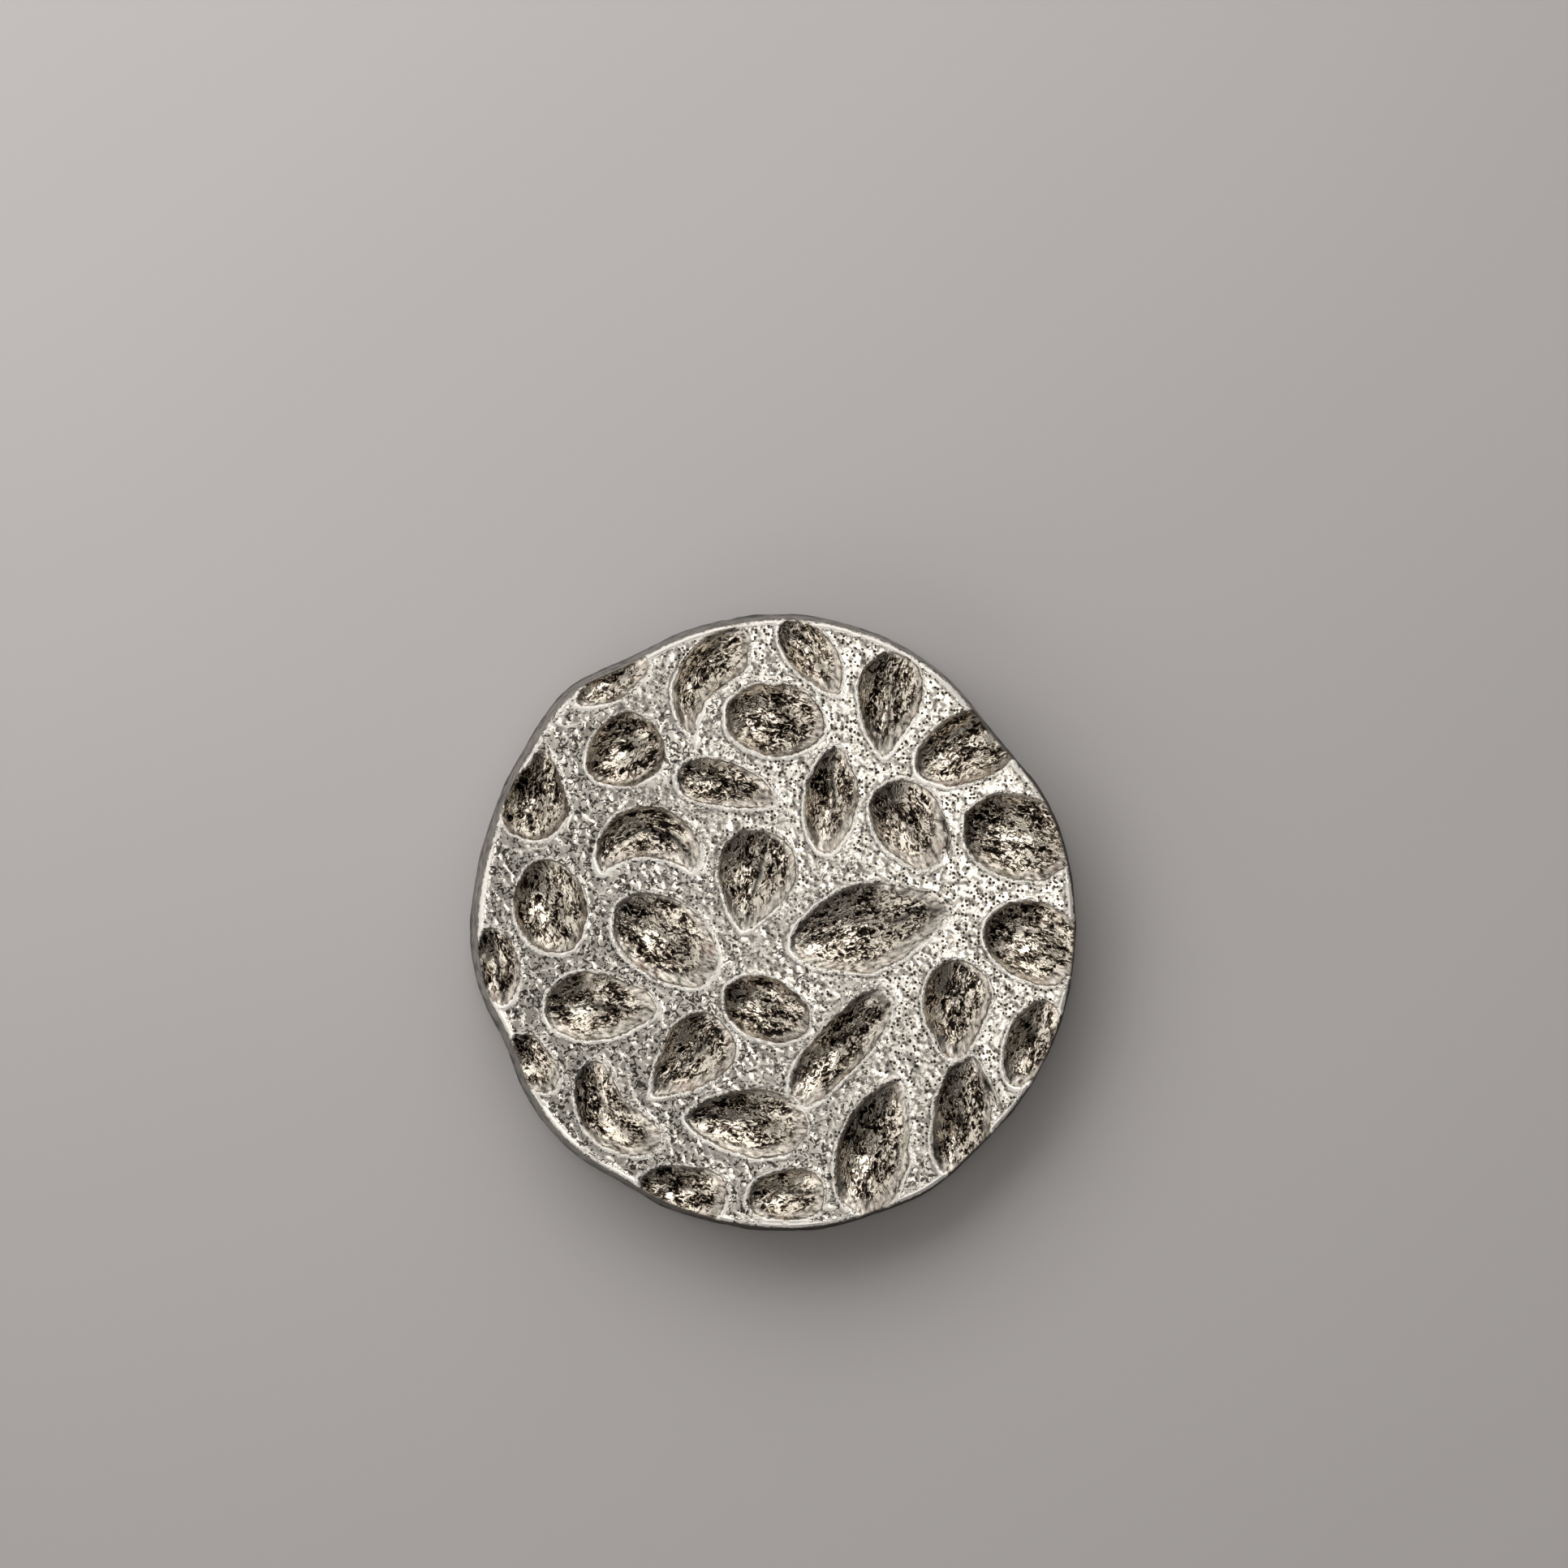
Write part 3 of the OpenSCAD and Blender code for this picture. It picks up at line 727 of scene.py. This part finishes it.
    even = n.math("SUBTRACT", 1.0, lip)
    on_land = n.math("MULTIPLY", n.math("SUBTRACT", 1.0, sunk), even)
    relief_land = n.math("MULTIPLY", land_height, on_land)
    relief_floor = n.math("MULTIPLY", n.spread(speck, 0.38, 0.62), floor)
    grain = n.bump(relief_land, 0.035, 0.9)
    grain = n.bump(relief_floor, 0.02, 0.55, grain)
    grain = n.bump(strokes, 0.012, 0.4, grain)
    roughness = n.math("ADD", n.spread(sunk, 0, 1, 0.3, 0.27), n.math("MULTIPLY", lip, 0.1))
    shaded_side_roughness = n.math("MULTIPLY", n.layer("side"), n.spread(painted_shade_side, 0, 0.9, 0.05, 0.4))
    roughness = n.math("ADD", roughness, shaded_side_roughness)
    return n.finish(colour, roughness, grain, n.spread(lip, 0, 1, 1, 0.55))


def sheet_metal(name, light, dull, grain_mm, stretch):
    """Plated sheet: fine rolling marks, dull stains and small scratches."""
    n = Nodes(name)
    marks = n.noise(grain_mm, detail=4, stretch=stretch)
    stain = n.noise(2.4, detail=4)
    dots = n.noise(0.12, detail=2)
    colour = n.mix(n.spread(stain, 0.35, 0.65), dull, light)
    colour = n.mix(n.spread(dots, 0.6, 0.72, 0, 0.5), colour, tuple(c * 0.45 for c in dull[:3]) + (1,))
    roughness = n.spread(marks, 0.3, 0.7, 0.28, 0.44)
    normal = n.bump(marks, 0.02, 0.4)
    normal = n.bump(dots, 0.02, 0.35, normal)
    return n.finish(colour, roughness, normal)


def card_board():
    """Grey-brown packing card with long soft fibres."""
    n = Nodes("packing_card")
    fibre = n.noise(0.25, detail=5, stretch=(1, 0.2, 1))
    fleck = n.noise(0.6, detail=3)
    colour = n.mix(n.spread(fibre, 0.3, 0.7), (0.3, 0.23, 0.15, 1), (0.52, 0.42, 0.3, 1))
    colour = n.mix(n.spread(fleck, 0.62, 0.7), colour, (0.18, 0.14, 0.1, 1))
    return n.finish(colour, 0.9, n.bump(fibre, 0.05, 0.6), metallic=0.0)


def table_top():
    """Pale warm grey surface, nearly smooth."""
    n = Nodes("table_top")
    cloudy = n.noise(60, detail=2)
    tooth = n.noise(0.5, detail=3)
    colour = n.mix(n.spread(cloudy, 0.3, 0.7), (0.475, 0.455, 0.45, 1), (0.49, 0.47, 0.465, 1))
    return n.finish(colour, 0.75, n.bump(tooth, 0.01, 0.2), metallic=0.0)


# ---------------------------------------------------------------- the stage, light and camera

def make_table(material):
    half = 0.6
    mesh = bpy.data.meshes.new("table_top")
    square = [(-half, -half, 0), (half, -half, 0), (half, half, 0), (-half, half, 0)]
    mesh.from_pydata(square, [], [(0, 1, 2, 3)])
    mesh.materials.append(material)
    table = bpy.data.objects.new("table_top", mesh)
    bpy.context.scene.collection.objects.link(table)


def toward(direction, elevation):
    """Unit vector at these angles in degrees."""
    a, e = math.radians(direction), math.radians(elevation)
    return math.cos(a) * math.cos(e), math.sin(a) * math.cos(e), math.sin(e)


def soft_light(name, direction, elevation, distance, size, radiance, colour):
    """An oblong area light that shines on the object from this direction and elevation in degrees. Its
    distance and its size, the width and the height, are in metres."""
    place = Vector(toward(direction, elevation)) * distance
    data = bpy.data.lights.new(name, "AREA")
    data.shape, (data.size, data.size_y) = "RECTANGLE", size
    data.energy, data.color = radiance * math.pi * size[0] * size[1], colour
    light = bpy.data.objects.new(name, data)
    light.location = place
    light.rotation_mode = "QUATERNION"
    light.rotation_quaternion = (-place).to_track_quat("-Z", "Y")
    light.visible_camera = False
    bpy.context.scene.collection.objects.link(light)
    return light


def make_room():
    """A pale room: bright all along one side up to a good height, dim on the other side and overhead, and a
    little dimmer again in the middle of the bright side."""
    world = bpy.data.worlds.new("room")
    world.use_nodes = True
    tree = world.node_tree

    def node(kind, **settings):
        made = tree.nodes.new(kind)
        for name, value in settings.items():
            setattr(made, name, value)
        return made

    def ramp(value, low, high, to_low, to_high):
        made = node("ShaderNodeMapRange", interpolation_type="SMOOTHSTEP")
        tree.links.new(value, made.inputs["Value"])
        for name, number in (("From Min", low), ("From Max", high), ("To Min", to_low), ("To Max", to_high)):
            made.inputs[name].default_value = number
        return made.outputs["Result"]

    way = node("ShaderNodeVectorMath", operation="NORMALIZE")
    tree.links.new(node("ShaderNodeTexCoord").outputs["Generated"], way.inputs[0])
    side = node("ShaderNodeVectorMath", operation="DOT_PRODUCT")
    tree.links.new(way.outputs["Vector"], side.inputs[0])
    side.inputs[1].default_value = toward(149, 20)
    split = node("ShaderNodeSeparateXYZ")
    tree.links.new(way.outputs["Vector"], split.inputs[0])
    lit_side = ramp(side.outputs["Value"], -0.38, 0.1, 0.03, 1.0)
    below_ceiling = ramp(split.outputs["Z"], 0.6, 0.92, 1.0, 0.12)
    mid_side = ramp(side.outputs["Value"], 0.45, 0.95, 1.15, 0.75)
    room = lit_side
    for part in (below_ceiling, mid_side):
        product = node("ShaderNodeMath", operation="MULTIPLY")
        tree.links.new(room, product.inputs[0])
        tree.links.new(part, product.inputs[1])
        room = product.outputs[0]
    background = tree.nodes["Background"]
    background.inputs["Color"].default_value = (1, 0.975, 0.94, 1)
    tree.links.new(room, background.inputs["Strength"])
    bpy.context.scene.world = world


def make_lights():
    """A window that no surface mirrors, and a ceiling that shows only in reflections, because in the
    photograph the metal and the table aren't lit alike by any one plain light."""
    window = soft_light("window", 122, 44, 0.118, (0.14, 0.085), 2.75, (1, 0.985, 0.98))
    window.visible_glossy = False
    ceiling = soft_light("ceiling", 25, 68, 0.088, (0.062, 0.062), 1.75, (1, 0.975, 0.94))
    ceiling.visible_diffuse = False
    make_room()
    bpy.context.scene.view_settings.view_transform = "Standard"


def make_camera():
    """Looking straight down, with the button off the middle of the view as in the photograph. The height
    above the face, the width of the view there and the camera's place are in mm."""
    above, field, place_x, place_y = 180, 59.08, 0.42, 5.32
    data = bpy.data.cameras.new("camera")
    data.sensor_width = 36
    data.lens = data.sensor_width * above / field
    data.clip_start, data.clip_end = 0.005, 5
    camera = bpy.data.objects.new("camera", data)
    camera.location = Vector((place_x, place_y, HEAD_H + above)) * MM
    bpy.context.scene.collection.objects.link(camera)
    bpy.context.scene.camera = camera


# ---------------------------------------------------------------- build

silver = antique_silver()
make_head(silver)
plate = sheet_metal("plate_sheet", (0.6, 0.58, 0.55, 1), (0.4, 0.37, 0.33, 1), 0.5, (0.15, 3, 1))
strap = sheet_metal("strap_sheet", (0.62, 0.6, 0.57, 1), (0.42, 0.39, 0.35, 1), 0.35, (3, 0.15, 1))
shine = sheet_metal("rivet_metal", (0.66, 0.64, 0.61, 1), (0.5, 0.47, 0.43, 1), 0.3, (1, 1, 1))
wire = sheet_metal("drawn_wire", (0.66, 0.64, 0.6, 1), (0.46, 0.43, 0.39, 1), 0.25, (1, 1, 4))
make_plate(plate)
make_saddle(strap)
make_rivets(shine)
make_loop(wire)
frame["nodes"]["filler_card"].data.materials.clear()
frame["nodes"]["filler_card"].data.materials.append(card_board())

make_table(table_top())
make_lights()
make_camera()
